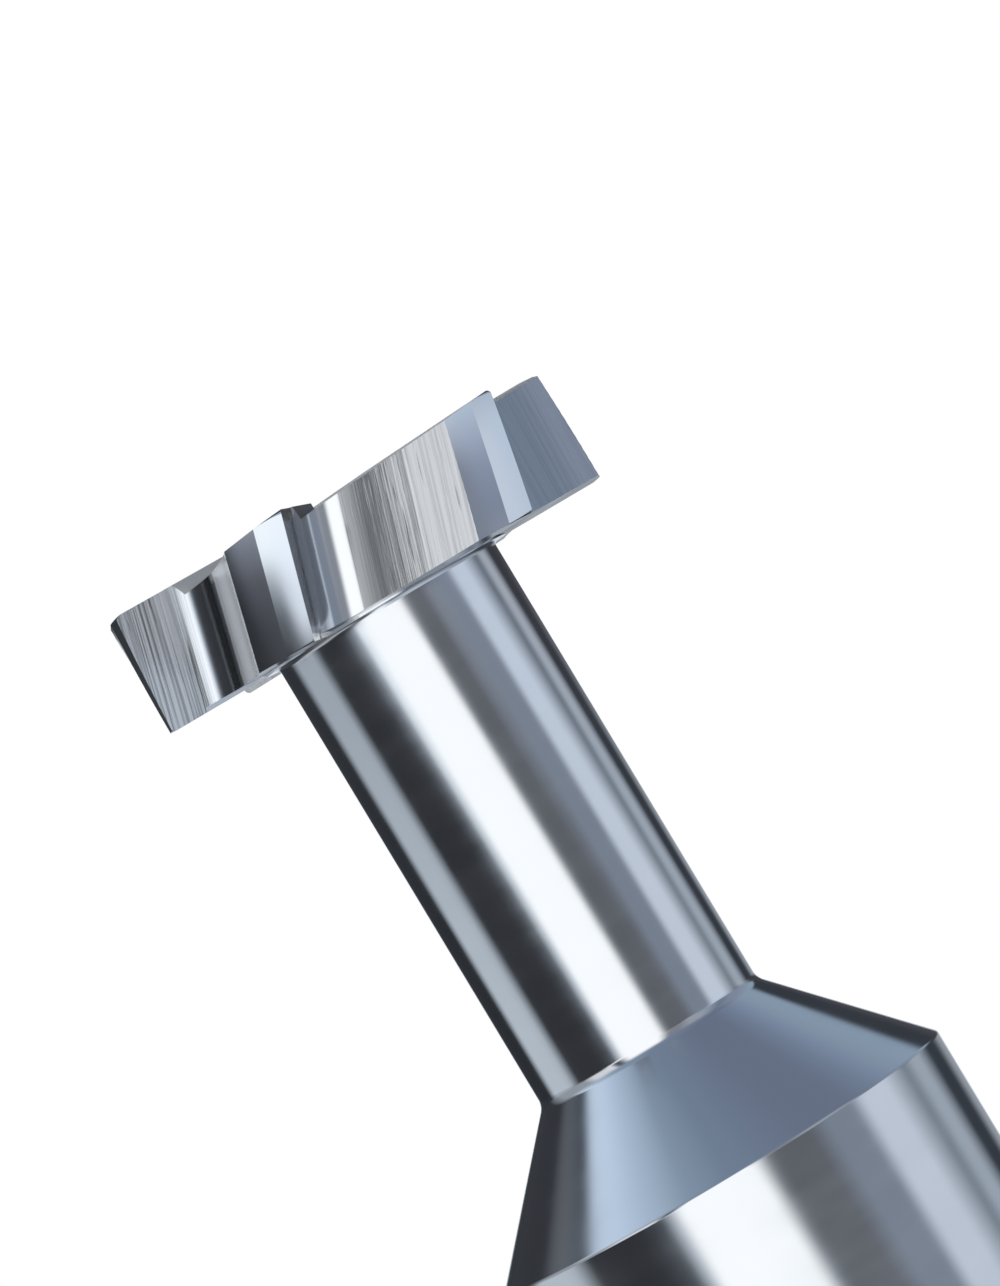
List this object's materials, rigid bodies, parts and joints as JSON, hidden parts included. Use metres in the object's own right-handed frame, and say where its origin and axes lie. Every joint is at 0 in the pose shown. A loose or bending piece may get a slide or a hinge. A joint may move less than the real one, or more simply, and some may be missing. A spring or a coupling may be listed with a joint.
{
  "type": "t-slot cutter",
  "caption": "Solid carbide T-slot cutter: a disc head with helical teeth on its rim and both sides, on a slim neck, a shoulder cone and a straight round shank.",
  "frame": {"origin": "centre of the flat end of the shank, on the cutter's axis, which is the bottom centre of its bounding box", "axes": "+Z along the cutter's axis from the shank end to the toothed end; azimuths start at -Y and grow towards +X, the way the teeth cut; the first tooth's edge is near -Y"},
  "size_m": [0.012, 0.012, 0.06],
  "materials": {
    "carbide": "cemented tungsten carbide, ground and polished bright, with fine grinding lines in the gullets"
  },
  "bodies": {
    "root": {"t_slot_cutter": "carbide"}
  },
  "joints": []
}
